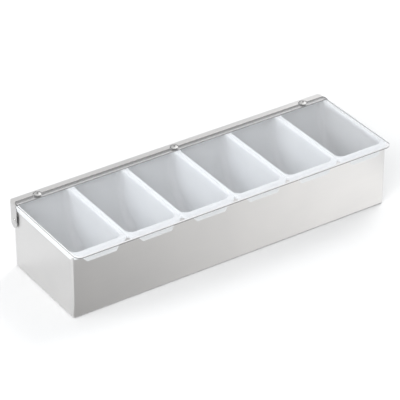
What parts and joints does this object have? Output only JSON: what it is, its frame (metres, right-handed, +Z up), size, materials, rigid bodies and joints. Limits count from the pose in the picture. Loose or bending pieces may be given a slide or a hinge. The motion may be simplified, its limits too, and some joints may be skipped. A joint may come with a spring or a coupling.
{
  "type": "condiment caddy",
  "caption": "Long open steel box holding white plastic inserts side by side, under one clear lid on a full-length steel hinge strip.",
  "frame": {"origin": "centre of the box's flat underside", "axes": "+X along the length, +Y to the hinge side at the back, +Z up"},
  "size_m": [0.5034, 0.1695, 0.1023],
  "materials": {
    "box_steel": "fine satin",
    "insert_plastic": "smooth moulded",
    "clear_lid": "clear plastic sheet",
    "hinge_steel": "satin",
    "rivet_metal": "satin",
    "spacer_plastic": "dark moulded"
  },
  "bodies": {
    "caddy": {"box_shell": "box_steel", "insert_1": "insert_plastic", "insert_2": "insert_plastic", "insert_3": "insert_plastic", "insert_4": "insert_plastic", "insert_5": "insert_plastic", "insert_6": "insert_plastic", "pivot_rivet_left": "rivet_metal", "pivot_rivet_right": "rivet_metal", "pivot_spacer_left": "spacer_plastic", "pivot_spacer_right": "spacer_plastic"},
    "lid_flap": {"lid": "clear_lid", "hinge_rail": "hinge_steel", "lid_rivets": "rivet_metal"}
  },
  "joints": [
    {"name": "lid_hinge", "type": "hinge", "parent": "caddy", "child": "lid_flap", "pos_m": [0, 0.0675, 0.0735], "axis": [-1, 0, 0], "range_deg": [0, 135]}
  ]
}
